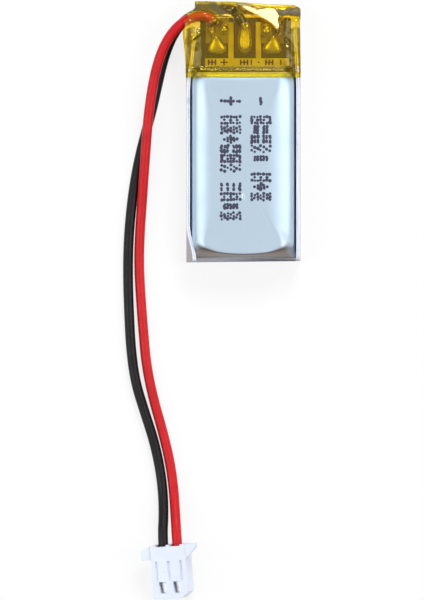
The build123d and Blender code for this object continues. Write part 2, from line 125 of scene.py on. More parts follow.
def slab(x0, x1, y0, y1, z0, z1):
    verts = [(x, y, z) for z in (z0, z1) for x, y in ((x0, y0), (x1, y0), (x1, y1), (x0, y1))]
    faces = [(3, 2, 1, 0), (4, 5, 6, 7), (0, 1, 5, 4), (1, 2, 6, 5), (2, 3, 7, 6), (3, 0, 4, 7)]
    return verts, faces


def joinShapes(name, shapes, flat=True):
    allVerts, allFaces = [], []
    for verts, faces in shapes:
        start = len(allVerts)
        allVerts += verts
        allFaces += [tuple(v + start for v in f) for f in faces]
    return newPiece(name, allVerts, allFaces, flat)


def addMath(nodes, operation):
    node = nodes.new("ShaderNodeMath")
    node.operation = operation
    return node


# shader groups shared by the materials


def startGroup(name, inputs, outputs):
    tree = bpy.data.node_groups.new(name, "ShaderNodeTree")
    for label, kind, value in inputs:
        socket = tree.interface.new_socket(label, in_out="INPUT", socket_type=kind)
        socket.default_value = value
    for label, kind in outputs:
        tree.interface.new_socket(label, in_out="OUTPUT", socket_type=kind)
    return tree, tree.nodes.new("NodeGroupInput"), tree.nodes.new("NodeGroupOutput")


def grainGroup():
    # two tones mottled together, a roughness that wanders, and a fine relief
    tree, given, out = startGroup(
        "fineGrain",
        [("Colour", "NodeSocketColor", (0.8, 0.8, 0.8, 1)),
         ("Second Colour", "NodeSocketColor", (0.6, 0.6, 0.6, 1)),
         ("Scale", "NodeSocketFloat", 600.0),
         ("Relief Scale", "NodeSocketFloat", 4000.0),
         ("Amount", "NodeSocketFloat", 0.3),
         ("Roughness", "NodeSocketFloat", 0.5),
         ("Spread", "NodeSocketFloat", 0.1)],
        [("Colour", "NodeSocketColor"), ("Roughness", "NodeSocketFloat"), ("Height", "NodeSocketFloat")],
    )
    nodes, links = tree.nodes, tree.links
    place = nodes.new("ShaderNodeTexCoord")
    patches = nodes.new("ShaderNodeTexNoise")
    patches.inputs["Detail"].default_value = 5
    relief = nodes.new("ShaderNodeTexNoise")
    relief.inputs["Detail"].default_value = 3
    spreadOut = nodes.new("ShaderNodeMapRange")
    spreadOut.inputs["From Min"].default_value = 0.32
    spreadOut.inputs["From Max"].default_value = 0.68
    share = addMath(nodes, "MULTIPLY")
    tones = nodes.new("ShaderNodeMix")
    tones.data_type = "RGBA"
    centred = addMath(nodes, "SUBTRACT")
    centred.inputs[1].default_value = 0.5
    wander = addMath(nodes, "MULTIPLY_ADD")
    links.new(place.outputs["Object"], patches.inputs["Vector"])
    links.new(place.outputs["Object"], relief.inputs["Vector"])
    links.new(given.outputs["Scale"], patches.inputs["Scale"])
    links.new(given.outputs["Relief Scale"], relief.inputs["Scale"])
    links.new(patches.outputs["Fac"], spreadOut.inputs["Value"])
    links.new(spreadOut.outputs["Result"], share.inputs[0])
    links.new(given.outputs["Amount"], share.inputs[1])
    links.new(share.outputs[0], tones.inputs["Factor"])
    links.new(given.outputs["Colour"], tones.inputs["A"])
    links.new(given.outputs["Second Colour"], tones.inputs["B"])
    links.new(spreadOut.outputs["Result"], centred.inputs[0])
    links.new(centred.outputs[0], wander.inputs[0])
    links.new(given.outputs["Spread"], wander.inputs[1])
    links.new(given.outputs["Roughness"], wander.inputs[2])
    links.new(tones.outputs["Result"], out.inputs["Colour"])
    links.new(wander.outputs[0], out.inputs["Roughness"])
    links.new(relief.outputs["Fac"], out.inputs["Height"])
    return tree


def scuffGroup():
    # sparse scuffs: a stretched noise cut off near its top, as a mask
    tree, given, out = startGroup(
        "scuffs",
        [("Scale", "NodeSocketFloat", 900.0), ("Cut", "NodeSocketFloat", 0.62),
         ("Amount", "NodeSocketFloat", 0.5), ("Stretch", "NodeSocketVector", (1, 1, 1))],
        [("Mask", "NodeSocketFloat")],
    )
    nodes, links = tree.nodes, tree.links
    place = nodes.new("ShaderNodeTexCoord")
    stretch = nodes.new("ShaderNodeVectorMath")
    stretch.operation = "MULTIPLY"
    marks = nodes.new("ShaderNodeTexNoise")
    marks.inputs["Detail"].default_value = 6
    cut = addMath(nodes, "SUBTRACT")
    lift = addMath(nodes, "MULTIPLY")
    lift.use_clamp = True
    lift.inputs[1].default_value = 9.0
    share = addMath(nodes, "MULTIPLY")
    links.new(place.outputs["Object"], stretch.inputs[0])
    links.new(given.outputs["Stretch"], stretch.inputs[1])
    links.new(stretch.outputs[0], marks.inputs["Vector"])
    links.new(given.outputs["Scale"], marks.inputs["Scale"])
    links.new(marks.outputs["Fac"], cut.inputs[0])
    links.new(given.outputs["Cut"], cut.inputs[1])
    links.new(cut.outputs[0], lift.inputs[0])
    links.new(lift.outputs[0], share.inputs[0])
    links.new(given.outputs["Amount"], share.inputs[1])
    links.new(share.outputs[0], out.inputs["Mask"])
    return tree


fineGrain = grainGroup()
scuffs = scuffGroup()


def makeFinish(name, colour, second, scale=500, amount=0.5, rough=0.4, spread=0.1,
               relief=0.002, reliefScale=5000, scuffColour=None, scuffAmount=0.0, scuffScale=900,
               scuffCut=0.62, shadeColour=None, **shader):
    # one Principled material: grain, scuffs, and painted shade from a shade attribute where the piece carries
    # one
    material = bpy.data.materials.new(name)
    material.use_nodes = True
    nodes, links = material.node_tree.nodes, material.node_tree.links
    surface = nodes["Principled BSDF"]
    grain = nodes.new("ShaderNodeGroup")
    grain.node_tree = fineGrain
    grain.inputs["Colour"].default_value = colour
    grain.inputs["Second Colour"].default_value = second
    grain.inputs["Scale"].default_value = scale
    grain.inputs["Relief Scale"].default_value = reliefScale
    grain.inputs["Amount"].default_value = amount
    grain.inputs["Roughness"].default_value = rough
    grain.inputs["Spread"].default_value = spread
    tone = grain.outputs["Colour"]
    if shadeColour:
        shade = nodes.new("ShaderNodeAttribute")
        shade.attribute_name = "shade"
        darker = nodes.new("ShaderNodeMix")
        darker.data_type = "RGBA"
        darker.inputs["B"].default_value = shadeColour
        links.new(shade.outputs["Fac"], darker.inputs["Factor"])
        links.new(tone, darker.inputs["A"])
        tone = darker.outputs["Result"]
    if scuffColour:
        marks = nodes.new("ShaderNodeGroup")
        marks.node_tree = scuffs
        marks.inputs["Scale"].default_value = scuffScale
        marks.inputs["Cut"].default_value = scuffCut
        marks.inputs["Amount"].default_value = scuffAmount
        worn = nodes.new("ShaderNodeMix")
        worn.data_type = "RGBA"
        worn.inputs["B"].default_value = scuffColour
        links.new(marks.outputs["Mask"], worn.inputs["Factor"])
        links.new(tone, worn.inputs["A"])
        tone = worn.outputs["Result"]
    bump = nodes.new("ShaderNodeBump")
    bump.inputs["Strength"].default_value = 1.0
    bump.inputs["Distance"].default_value = relief * mm
    links.new(tone, surface.inputs["Base Color"])
    links.new(grain.outputs["Roughness"], surface.inputs["Roughness"])
    links.new(grain.outputs["Height"], bump.inputs["Height"])
    links.new(bump.outputs["Normal"], surface.inputs["Normal"])
    for label, value in shader.items():
        surface.inputs[label].default_value = value
    return material


# camera, studio and floor

cameraSet = {"x": -2.751, "y": -14.760, "height": 500.0, "aim": 2.0, "span": 52.40, "sensor": 36.0}


def makeCamera():
    data = bpy.data.cameras.new("camera")
    data.sensor_fit = "AUTO"
    data.sensor_width = cameraSet["sensor"]
    data.lens = cameraSet["sensor"] * (cameraSet["height"] - cameraSet["aim"]) / cameraSet["span"]
    camera = bpy.data.objects.new("camera", data)
    camera.location = (cameraSet["x"] * mm, cameraSet["y"] * mm, cameraSet["height"] * mm)
    bpy.context.scene.collection.objects.link(camera)
    bpy.context.scene.camera = camera


studio = {"zenith": 0.62, "horizon": 0.34, "floorTone": 0.9, "floorHalf": 0.6, "floorDrop": 0.02,
          "floorGlow": 0.8,
          "lamps": (
              # name, azimuth from +Y clockwise, angle from straight up, distance, width, length, glow
              ("leftSoftbox", 262, 44, 0.36, 0.16, 0.34, 2.3),
              ("rightSoftbox", 98, 44, 0.36, 0.16, 0.34, 2.3),
              ("farSoftbox", 14, 46, 0.40, 0.15, 0.12, 17.0),
          )}


def makeLights():
    for name, azimuth, fromTop, distance, width, length, glow in studio["lamps"]:
        data = bpy.data.lights.new(name, "AREA")
        data.shape = "RECTANGLE"
        data.size = width
        data.size_y = length
        data.energy = glow * math.pi * width * length
        lamp = bpy.data.objects.new(name, data)
        a, t = math.radians(azimuth), math.radians(fromTop)
        away = Vector((math.sin(a) * math.sin(t), math.cos(a) * math.sin(t), math.cos(t)))
        lamp.location = away * distance
        lamp.rotation_mode = "QUATERNION"
        lamp.rotation_quaternion = away.to_track_quat("Z", "Y")
        bpy.context.scene.collection.objects.link(lamp)


def makeWorld():
    world = bpy.data.worlds.new("studio")
    bpy.context.scene.world = world
    world.use_nodes = True
    nodes, links = world.node_tree.nodes, world.node_tree.links
    nodes.clear()
    out = nodes.new("ShaderNodeOutputWorld")
    place = nodes.new("ShaderNodeTexCoord")
    split = nodes.new("ShaderNodeSeparateXYZ")
    ramp = nodes.new("ShaderNodeMapRange")
    ramp.inputs["From Min"].default_value = 0.0
    ramp.inputs["From Max"].default_value = 1.0
    ramp.inputs["To Min"].default_value = studio["horizon"]
    ramp.inputs["To Max"].default_value = studio["zenith"]
    soft = nodes.new("ShaderNodeBackground")
    white = nodes.new("ShaderNodeBackground")
    path = nodes.new("ShaderNodeLightPath")
    choose = nodes.new("ShaderNodeMixShader")
    links.new(place.outputs["Generated"], split.inputs[0])
    links.new(split.outputs["Z"], ramp.inputs["Value"])
    links.new(ramp.outputs["Result"], soft.inputs["Strength"])
    links.new(path.outputs["Is Camera Ray"], choose.inputs[0])
    links.new(soft.outputs[0], choose.inputs[1])
    links.new(white.outputs[0], choose.inputs[2])
    links.new(choose.outputs[0], out.inputs["Surface"])
    white.inputs["Color"].default_value = (1, 1, 1, 1)
    white.inputs["Strength"].default_value = 1.0


def makeFloor():
    half = studio["floorHalf"]
    corners = [(-half, -half, 0), (half, -half, 0), (half, half, 0), (-half, half, 0)]
    mesh = bpy.data.meshes.new("floor")
    mesh.from_pydata(corners, [], [(0, 1, 2, 3)])
    floor = bpy.data.objects.new("floor", mesh)
    floor.location.z = -studio["floorDrop"] * mm
    bpy.context.scene.collection.objects.link(floor)
    material = bpy.data.materials.new("paleFloor")
    material.use_nodes = True
    nodes, links = material.node_tree.nodes, material.node_tree.links
    nodes.clear()
    out = nodes.new("ShaderNodeOutputMaterial")
    paper = nodes.new("ShaderNodeBsdfDiffuse")
    tone = studio["floorTone"]
    paper.inputs["Color"].default_value = (tone, tone, tone, 1)
    glow = nodes.new("ShaderNodeEmission")
    path = nodes.new("ShaderNodeLightPath")
    seenOrMirrored = addMath(nodes, "MAXIMUM")
    orThrough = addMath(nodes, "MAXIMUM")
    share = addMath(nodes, "MULTIPLY")
    share.inputs[1].default_value = studio["floorGlow"]
    choose = nodes.new("ShaderNodeMixShader")
    links.new(path.outputs["Is Camera Ray"], seenOrMirrored.inputs[0])
    links.new(path.outputs["Is Glossy Ray"], seenOrMirrored.inputs[1])
    links.new(seenOrMirrored.outputs[0], orThrough.inputs[0])
    links.new(path.outputs["Is Transmission Ray"], orThrough.inputs[1])
    links.new(orThrough.outputs[0], share.inputs[0])
    links.new(share.outputs[0], choose.inputs[0])
    links.new(paper.outputs[0], choose.inputs[1])
    links.new(glow.outputs[0], choose.inputs[2])
    links.new(choose.outputs[0], out.inputs["Surface"])
    mesh.materials.append(material)


bpy.context.scene.view_settings.view_transform = "Standard"
makeCamera()
makeLights()
makeWorld()
makeFloor()
print("studio ready")

# leads and plug

plugSet = {"centre": (-6.24, -38.45, 1.594), "yaw": 4.0, "roll": -12.0, "pitch": 1.25,
           "aimPoint": 3.20, "leadEnd": 1.75, "notchFrom": 2.20, "notchTo": 2.6,
           "notchWidth": 0.98, "notchTop": 1.5, "brokenEdge": 0.045}
plugPlace = (Matrix.Translation(Vector(plugSet["centre"]))
             @ Matrix.Rotation(math.radians(plugSet["yaw"]), 4, "Z")
             @ Matrix.Rotation(math.radians(plugSet["roll"]), 4, "Y"))

leadSet = {"diameter": 0.86, "shown": 0.88, "redLength": 50.25, "blackLength": 53.96}
redRoute = [
    (-2.72, 9.69, 2.75), (-3.35, 10.05, 2.86), (-4.65, 9.86, 2.80), (-5.75, 9.12, 2.66),
    (-6.60, 8.05, 2.45), (-7.26, 6.66, 2.20), (-7.76, 4.90, 1.95), (-8.10, 2.95, 1.72),
    (-8.36, 0.90, 1.54), (-8.52, -1.30, 1.34), (-8.70, -3.60, 1.08), (-8.86, -6.00, 0.72),
    (-9.06, -8.60, 0.47), (-9.16, -11.50, 0.43), (-9.00, -14.50, 0.43), (-8.76, -17.60, 0.43),
    (-8.50, -20.50, 0.43), (-7.90, -23.40, 0.43), (-7.06, -26.30, 0.43), (-6.42, -29.00, 0.43),
    (-6.10, -31.40, 0.60), (-5.96, -33.50, 1.15),
]
blackRoute = [
    (-0.12, 9.40, 2.72), (-0.36, 9.95, 2.80), (-1.00, 10.62, 2.25), (-2.05, 10.66, 1.42),
    (-3.25, 10.52, 1.08), (-4.45, 10.18, 1.02), (-5.35, 9.55, 0.98), (-6.05, 8.60, 0.88),
    (-6.62, 7.40, 0.75), (-7.10, 5.90, 0.58), (-7.52, 4.10, 0.46), (-7.95, 2.10, 0.43),
    (-8.50, 0.10, 0.43), (-9.05, -2.00, 0.43), (-9.52, -4.40, 0.43), (-9.86, -7.00, 0.43),
    (-10.08, -9.80, 0.43), (-10.12, -12.80, 0.43), (-10.02, -15.90, 0.43), (-9.86, -19.00, 0.43),
    (-9.48, -21.90, 0.43), (-8.68, -24.50, 0.43), (-7.86, -27.00, 0.43), (-7.32, -29.40, 0.43),
    (-7.04, -31.60, 0.55), (-6.98, -33.60, 1.00),
]


def plugEnd(side):
    x = side * plugSet["pitch"] / 2
    return [plugPlace @ Vector((x, plugSet[place], 0)) for place in ("aimPoint", "leadEnd")]


def makeCord(name, route, radius):
    curve = bpy.data.curves.new(name, "CURVE")
    curve.dimensions = "3D"
    curve.bevel_depth = radius * mm
    curve.bevel_resolution = 6
    curve.resolution_u = 10
    curve.use_fill_caps = True
    spline = curve.splines.new("NURBS")
    spline.points.add(len(route) - 1)
    for point, place in zip(spline.points, route):
        point.co = (place[0] * mm, place[1] * mm, place[2] * mm, 1.0)
    spline.order_u = 3
    spline.use_endpoint_u = True
    cordPiece = bpy.data.objects.new(name, curve)
    bpy.context.scene.collection.objects.link(cordPiece)
    return cordPiece


redPvc = makeFinish("redPvc", paint(206, 20, 28), paint(176, 12, 22), scale=700, amount=0.6, rough=0.40,
                    spread=0.12, relief=0.008, reliefScale=2500, scuffColour=paint(232, 96, 96),
                    scuffAmount=0.35, scuffScale=1400, scuffCut=0.66, **{"Specular IOR Level": 0.3})
blackPvc = makeFinish("blackPvc", paint(17, 12, 16), paint(9, 7, 10), scale=700, amount=0.6, rough=0.42,
                      spread=0.12, relief=0.008, reliefScale=2500, scuffColour=paint(60, 58, 66),
                      scuffAmount=0.35, scuffScale=1300, scuffCut=0.66, **{"Specular IOR Level": 0.3})
whiteNylon = makeFinish("whiteNylon", paint(226, 234, 247), paint(214, 220, 238), scale=450, amount=0.5,
                        rough=0.42, spread=0.1, relief=0.006, reliefScale=3000,
                        scuffColour=paint(196, 198, 214), scuffAmount=0.35, scuffScale=1500, scuffCut=0.66)


def makeHousing():
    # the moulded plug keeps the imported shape, with its sharp edges broken
    mesh = frame["nodes"]["connector_housing"].data.copy()
    piece = bpy.data.objects.new("plugHousing", mesh)
    bpy.context.scene.collection.objects.link(piece)
    work = bmesh.new()
    work.from_mesh(mesh)
    bmesh.ops.remove_doubles(work, verts=work.verts, dist=2e-7)
    bmesh.ops.dissolve_limit(work, angle_limit=math.radians(2), verts=work.verts, edges=work.edges)
    work.to_mesh(mesh)
    work.free()
    # each circuit is open on top where its lead comes in
    notches = []
    half = plugSet["notchWidth"] / 2
    for side in (-1, 1):
        middle = side * plugSet["pitch"] / 2
        corners, faces = slab(middle - half, middle + half, plugSet["notchFrom"], plugSet["notchTo"],
                              0.0, plugSet["notchTop"])
        notches.append(([tuple(plugPlace @ Vector(c)) for c in corners], faces))
    cutter = joinShapes("notchCutter", notches)
    cut = piece.modifiers.new("leadNotches", "BOOLEAN")
    cut.operation = "DIFFERENCE"
    cut.solver = "EXACT"
    cut.object = cutter
    bakeModifiers(piece)
    bpy.data.objects.remove(cutter)
    bevel = piece.modifiers.new("brokenEdges", "BEVEL")
    bevel.width = plugSet["brokenEdge"] * mm
    bevel.segments = 2
    bevel.limit_method = "ANGLE"
    bevel.angle_limit = math.radians(35)
    bakeModifiers(piece)
    return piece


redLead = makeCord("redLead", redRoute + plugEnd(1), leadSet["shown"] / 2)
blackLead = makeCord("blackLead", blackRoute + plugEnd(-1), leadSet["shown"] / 2)
plugHousing = makeHousing()
fitPiece(redLead, redPvc, "red_pvc", "red_lead")
fitPiece(blackLead, blackPvc, "black_pvc", "black_lead")
fitPiece(plugHousing, whiteNylon, "white_nylon", "connector_housing")

# pouch: cup, its seam strips and the back

cup = {"half": 4.58, "top": 4.0, "wallBase": 0.30, "foldY": -11.0, "endY": 5.33, "lean": 0.10,
       "endLean": 0.15, "terraceEnd": 9.0, "webHalf": 4.66, "webFold": 0.02, "webDip": 0.10,
       "foldBow": 0.13, "creaseY": -10.82, "creaseLift": 0.74, "edgePower": 2.5, "wallBow": 0.05,
       "rightFoot": 0.05, "rightTop": 0.09, "spineInset": 5.0, "faceDrop": 0.012, "sheet": 0.15,
       # near and far corner sizes of each outline
       "footCorners": (0.30, 0.9), "topCorners": (1.05, 1.1), "webCorners": (0.32, 0.30),
       # how far the rounded edge runs over the face, and down the wall
       "edgeLeft": (2.1, 1.15), "edgeRight": (2.9, 1.15), "edgeEnd": (0.95, 0.80),
       "edgeFold": (0.20, 0.62), "foldDown": 0.9,
       "swell": (0.28, 0.22, 3.1, 0.020), "ripple": (0.75, 0.6, 8.4, 0.008),
       "sideCount": 64, "endCount": 40, "cornerCount": 9,
       "wallSteps": 6, "edgeSteps": 14, "faceSteps": 12}
wallHeight = cup["top"] - cup["wallBase"]


def cornerArc(cx, cy, size, turn, fold):
    # a quarter round; turn counts the quarters from the right, anticlockwise
    points = []
    steps = cup["cornerCount"] + 1
    for i in range(1, steps):
        a = math.pi / 2 * (turn + i / steps)
        share = smooth(0, 1, i / steps)
        side = share if turn % 2 else 1 - share
        points.append((cx + size * math.cos(a), cy + size * math.sin(a), side, fold))
    return points


def roundedOutline(left, right, lowEdge, high, lowCorner, highCorner):
    # anticlockwise from the lower left; each point carries (x, y, side share, fold share)
    points = []
    n, m = cup["endCount"], cup["sideCount"]
    for i in range(n):
        x = mix(left + lowCorner, right - lowCorner, i / (n - 1))
        points.append((x, lowEdge(x), 0.0, 1.0))
    base = lowEdge(right - lowCorner)
    points += cornerArc(right - lowCorner, base + lowCorner, lowCorner, -1, 1.0)
    for i in range(m):
        y = mix(base + lowCorner, high - highCorner, i / (m - 1))
        points.append((right, y, 1.0, 1.0 if i < m // 2 else 0.0))
    points += cornerArc(right - highCorner, high - highCorner, highCorner, 0, 0.0)
    for i in range(n):
        x = mix(right - highCorner, left + highCorner, i / (n - 1))
        points.append((x, high, 0.0, 0.0))
    points += cornerArc(left + highCorner, high - highCorner, highCorner, 1, 0.0)
    base = lowEdge(left + lowCorner)
    for i in range(m):
        y = mix(high - highCorner, base + lowCorner, i / (m - 1))
        points.append((left, y, 1.0, 0.0 if i < m // 2 else 1.0))
    points += cornerArc(left + lowCorner, base + lowCorner, lowCorner, 2, 1.0)
    return points


def foldLine(x):
    return cup["foldY"] - cup["foldBow"] * (x / 4.6) ** 2


def creaseLine(x):
    return cup["creaseY"] + cup["creaseLift"] * min(1.0, abs(x) / 4.2) ** 2.3


def facePlay(x, y):
    # the laminate is never quite flat
    return waver(x, y, *cup["swell"]) + waver(x, y, *cup["ripple"])


def edgeSize(p):
    foldSize = mix(*cup["edgeFold"], smooth(2.0, 4.0, abs(p[0])))
    end = (foldSize, foldSize * cup["foldDown"]) if p[3] else cup["edgeEnd"]
    side = cup["edgeRight"] if p[0] > 0 else cup["edgeLeft"]
    return mix(end[0], side[0], p[2]), mix(end[1], side[1], p[2])


# painted shade: the fold's wall is darkened brown-grey, standing in for a darker reflection
def foldShade(p):
    return max(0.0, 1.0 - p[2] * 1.3) if p[3] else 0.0


def spinePoint(p):
    # the face closes in on a line down its middle
    low, high = cup["foldY"] + cup["spineInset"], cup["endY"] - cup["spineInset"]
    return Vector((0.0, max(low, min(high, p[1]))))


def webRing(web):
    # the sheet's foot, pressed lower along the fold
    ring = []
    for p in web:
        dip = cup["webDip"] if p[3] and not p[2] else 0.0
        ring.append((p[0], p[1], cup["wallBase"] - dip))
    # the fold's part of the foot carries the painted shade too
    return ring, [1.0 if p[3] and p[2] < 0.9 else 0.0 for p in web]


def wallRing(base, high, step):
    ring = []
    for b, h in zip(base, high):
        t = step / cup["wallSteps"] * (1 - edgeSize(h)[1] / wallHeight)
        bow = cup["wallBow"] * math.sin(math.pi * t) if b[3] and b[2] < 0.5 else 0.0
        ring.append((mix(b[0], h[0], t), mix(b[1], h[1], t) - bow, mix(cup["wallBase"], cup["top"], t)))
    return ring, [foldShade(b) for b in base]


def edgeRing(base, high, step):
    # rounded from the wall over to the face
    ring, shade = [], []
    power = 2 / cup["edgePower"]
    a = math.pi / 2 * step / cup["edgeSteps"]
    for b, h in zip(base, high):
        across, down = edgeSize(h)
        inward = (spinePoint(h) - Vector(h[:2])).normalized()
        t = 1 - down / wallHeight * (1 - math.sin(a) ** power)
        x = mix(b[0], h[0], t) + inward.x * across * (1 - math.cos(a) ** power)
        y = mix(b[1], h[1], t) + inward.y * across * (1 - math.cos(a) ** power)
        ring.append((x, y, min(mix(cup["wallBase"], cup["top"], t), cup["top"])))
        shade.append(foldShade(b) * (1 - smooth(0.45, 0.75, step / cup["edgeSteps"])))
    return ring, shade


def faceRing(high, step):
    ring = []
    s = step / cup["faceSteps"]
    for h in high:
        across = edgeSize(h)[0]
        centre = spinePoint(h)
        inward = (centre - Vector(h[:2])).normalized()
        x = mix(h[0] + inward.x * across, centre.x, s)
        y = mix(h[1] + inward.y * across, centre.y, s)
        z = cup["top"] - cup["faceDrop"] + facePlay(x, y) * smooth(0, 0.3, s)
        ring.append((x, y, min(z, cup["top"])))
    return ring, [0.0] * len(high)


def makeCup():
    base = roundedOutline(-cup["half"], cup["half"] - cup["rightFoot"], foldLine, cup["endY"],
                          *cup["footCorners"])
    high = roundedOutline(-cup["half"] + cup["lean"], cup["half"] - cup["lean"] - cup["rightTop"],
                          creaseLine, cup["endY"] - cup["endLean"], *cup["topCorners"])
    web = roundedOutline(-cup["webHalf"], cup["webHalf"], lambda x: foldLine(x) + cup["webFold"],
                         cup["terraceEnd"], *cup["webCorners"])
    shaded = [webRing(web)]
    shaded += [wallRing(base, high, step) for step in range(cup["wallSteps"] + 1)]
    shaded += [edgeRing(base, high, step) for step in range(1, cup["edgeSteps"] + 1)]
    shaded += [faceRing(high, step) for step in range(1, cup["faceSteps"] + 1)]
    verts, faces = loft([ring for ring, shade in shaded], caps=False)
    mesh = bpy.data.meshes.new("pouchCup")
    mesh.from_pydata([tuple(c * mm for c in v) for v in verts], [], faces)
    # the shade attribute carries the painted brown-grey shade along the fold wall and foot
    shadeLayer = mesh.attributes.new("shade", "FLOAT", "POINT")
    shadeLayer.data.foreach_set("value", [value for ring, shade in shaded for value in shade])
    work = bmesh.new()
    work.from_mesh(mesh)
    bmesh.ops.remove_doubles(work, verts=work.verts, dist=2e-5)
    bmesh.ops.dissolve_degenerate(work, edges=work.edges, dist=1e-6)
    bmesh.ops.recalc_face_normals(work, faces=work.faces)
    work.to_mesh(mesh)
    work.free()
    mesh.shade_smooth()
    piece = bpy.data.objects.new("pouchCup", mesh)
    bpy.context.scene.collection.objects.link(piece)
    return thicken(piece, cup["sheet"], -1)


seam = {"height": 3.3, "outer": 5.0, "sheet": 0.145, "bend": 0.22, "lowEnd": -11.35, "highEnd": 9.0,
        "leftLean": 0.03, "rightLean": 0.11, "leftFar": 0.60, "rightFar": 0.28, "leftFold": 0.60,
        "runOn": 0.12, "cutEdge": (1.0, 0.45, 1.7, 0.05), "stations": 72, "heights": 8,
        # under the tape the web stands a little higher
        "tapeFrom": 4.7, "tapeRoom": 0.09, "webTop": 0.15, "webReach": 4.7, "webFold": 0.14,
        "stripGap": 0.01, "stripFrom": 0.50, "stripToe": 4.60, "paintedShade": 0.75, "paintedShadeTop": 3.0}


def seamLean(x, y, z):
    # the folded-up seams lean in over the board, and the left one again at the fold
    lift = min(1.0, max(0.0, z - 0.3) / (seam["height"] - 0.3))
    if x < 0:
        lean = seam["leftLean"] + seam["leftFar"] * smooth(3.2, 9.2, y)
        lean += seam["leftFold"] * smooth(-8.2, -11.5, y)
    else:
        lean = seam["rightLean"] + seam["rightFar"] * smooth(3.2, 9.2, y)
    return lean * lift ** 1.2


def seamEdge(x, y):
    # the cut edge wanders a little in height
    return waver(x, y, *seam["cutEdge"]) - seam["cutEdge"][3]


def seamRunOn(x, y):
    # the left seam reaches past the fold
    return seam["runOn"] * smooth(-10.5, seam["lowEnd"], y) if x < 0 else 0.0


def uSection(y):
    # a folded-up strip on both sides joined by the back web, as one closed loop
    outer, bend = seam["outer"], seam["bend"]
    low = seam["tapeRoom"] if y > seam["tapeFrom"] else 0.0
    top = seam["height"] + seamEdge(1, y)
    heights = [mix(top, bend, i / seam["heights"]) for i in range(seam["heights"] + 1)]
    outside = [(outer, z) for z in heights]
    for i in range(1, 7):
        a = math.pi / 2 * i / 6
        outside.append((outer - bend * (1 - math.cos(a)), bend - bend * math.sin(a) + low * i / 6))
    inner, small = outer - seam["sheet"], bend - seam["sheet"]
    inside = [(inner, z) for z in heights]
    for i in range(1, 5):
        a = math.pi / 2 * i / 5
        inside.append((inner - small * (1 - math.cos(a)), bend - small * math.sin(a)))
    loop = [(-x, z) for x, z in outside]
    loop += [(mix(-outer + bend, outer - bend, i / 12), low) for i in range(1, 12)]
    loop += outside[::-1] + inside
    loop += [(mix(inner - small, -inner + small, i / 11), seam["webTop"]) for i in range(12)]
    loop += [(-x, z) for x, z in reversed(inside)]
    return loop


def makeBack():
    rings = []
    for i in range(seam["stations"] + 1):
        y = mix(seam["lowEnd"], seam["highEnd"], i / seam["stations"])
        ring = []
        for x, z in uSection(y):
            py = y - seamRunOn(x, y)
            if z <= 0.3 and abs(x) <= seam["webReach"]:
                py = max(py, foldLine(x) + seam["webFold"])
            ring.append((x - math.copysign(seamLean(x, y, z), x), py, z))
        rings.append(ring)
    verts, faces = loft(rings)
    piece = newPiece("pouchBack", verts, faces)
    # painted shade: the outer faces of the seams, up to a height, are darkened to a warm grey
    shade = piece.data.attributes.new("shade", "FLOAT", "POINT")
    for vertex, mark in zip(piece.data.vertices, shade.data):
        outside = abs(vertex.co.x) / mm + seamLean(vertex.co.x, vertex.co.y / mm, vertex.co.z / mm)
        paintedShadeHere = outside > seam["outer"] - 0.02 and vertex.co.z < seam["paintedShadeTop"] * mm
        mark.value = seam["paintedShade"] if paintedShadeHere else 0.0
    return piece


def makeSeamStrips():
    # the cup sheet's own half of each seam, standing against the back's
    outer = seam["outer"] - seam["sheet"] - seam["stripGap"]
    inner = seam["outer"] - 2 * seam["sheet"] - seam["stripGap"]
    shapes = []
    for side in (-1, 1):
        rings = []
        for i in range(seam["stations"] + 1):
            y = mix(seam["lowEnd"], seam["highEnd"], i / seam["stations"])
            top = seam["height"] + seamEdge(4, y) - 0.05
            heights = [mix(top, seam["stripFrom"], k / 6) for k in range(7)]
            loop = [(outer, z) for z in heights]
            loop += [(outer - 0.03, 0.28), (outer - 0.12, 0.19), (seam["stripToe"], 0.17)]
            loop += [(seam["stripToe"], 0.30), (inner - 0.02, 0.33)]
            loop += [(inner, z) for z in reversed(heights)]
            py = y - seamRunOn(side, y)
            rings.append([(side * (x - seamLean(side, y, z)), py, z) for x, z in loop])
        shapes.append(loft(rings))
    return joinShapes("seamStrips", shapes, flat=False)


# shadeColour is the painted brown-grey shade of the fold wall
pouchFoil = makeFinish("pouchFoil", paint(197, 217, 233), paint(189, 209, 227), scale=260, amount=0.5,
                       rough=0.40, spread=0.05, relief=0.0012, reliefScale=5200,
                       scuffColour=paint(190, 200, 216), scuffAmount=0.25, scuffScale=1300, scuffCut=0.63,
                       shadeColour=paint(112, 97, 88), Metallic=0.72)
# shadeColour here is the painted warm grey shade on the seams' outer faces
seamFoil = makeFinish("seamFoil", paint(236, 240, 250), paint(224, 230, 244), scale=500, amount=0.5,
                      rough=0.45, spread=0.06, relief=0.003, reliefScale=3600,
                      scuffColour=paint(186, 182, 184), scuffAmount=0.4, scuffScale=1100, scuffCut=0.60,
                      shadeColour=paint(150, 142, 140), Metallic=0.45)
fitPiece(makeCup(), pouchFoil, "pouch_foil", "pouch_cup")
fitPiece(makeSeamStrips(), seamFoil, "pouch_foil")
fitPiece(makeBack(), seamFoil, "pouch_foil", "pouch_back")

# amber tape cap over the board end

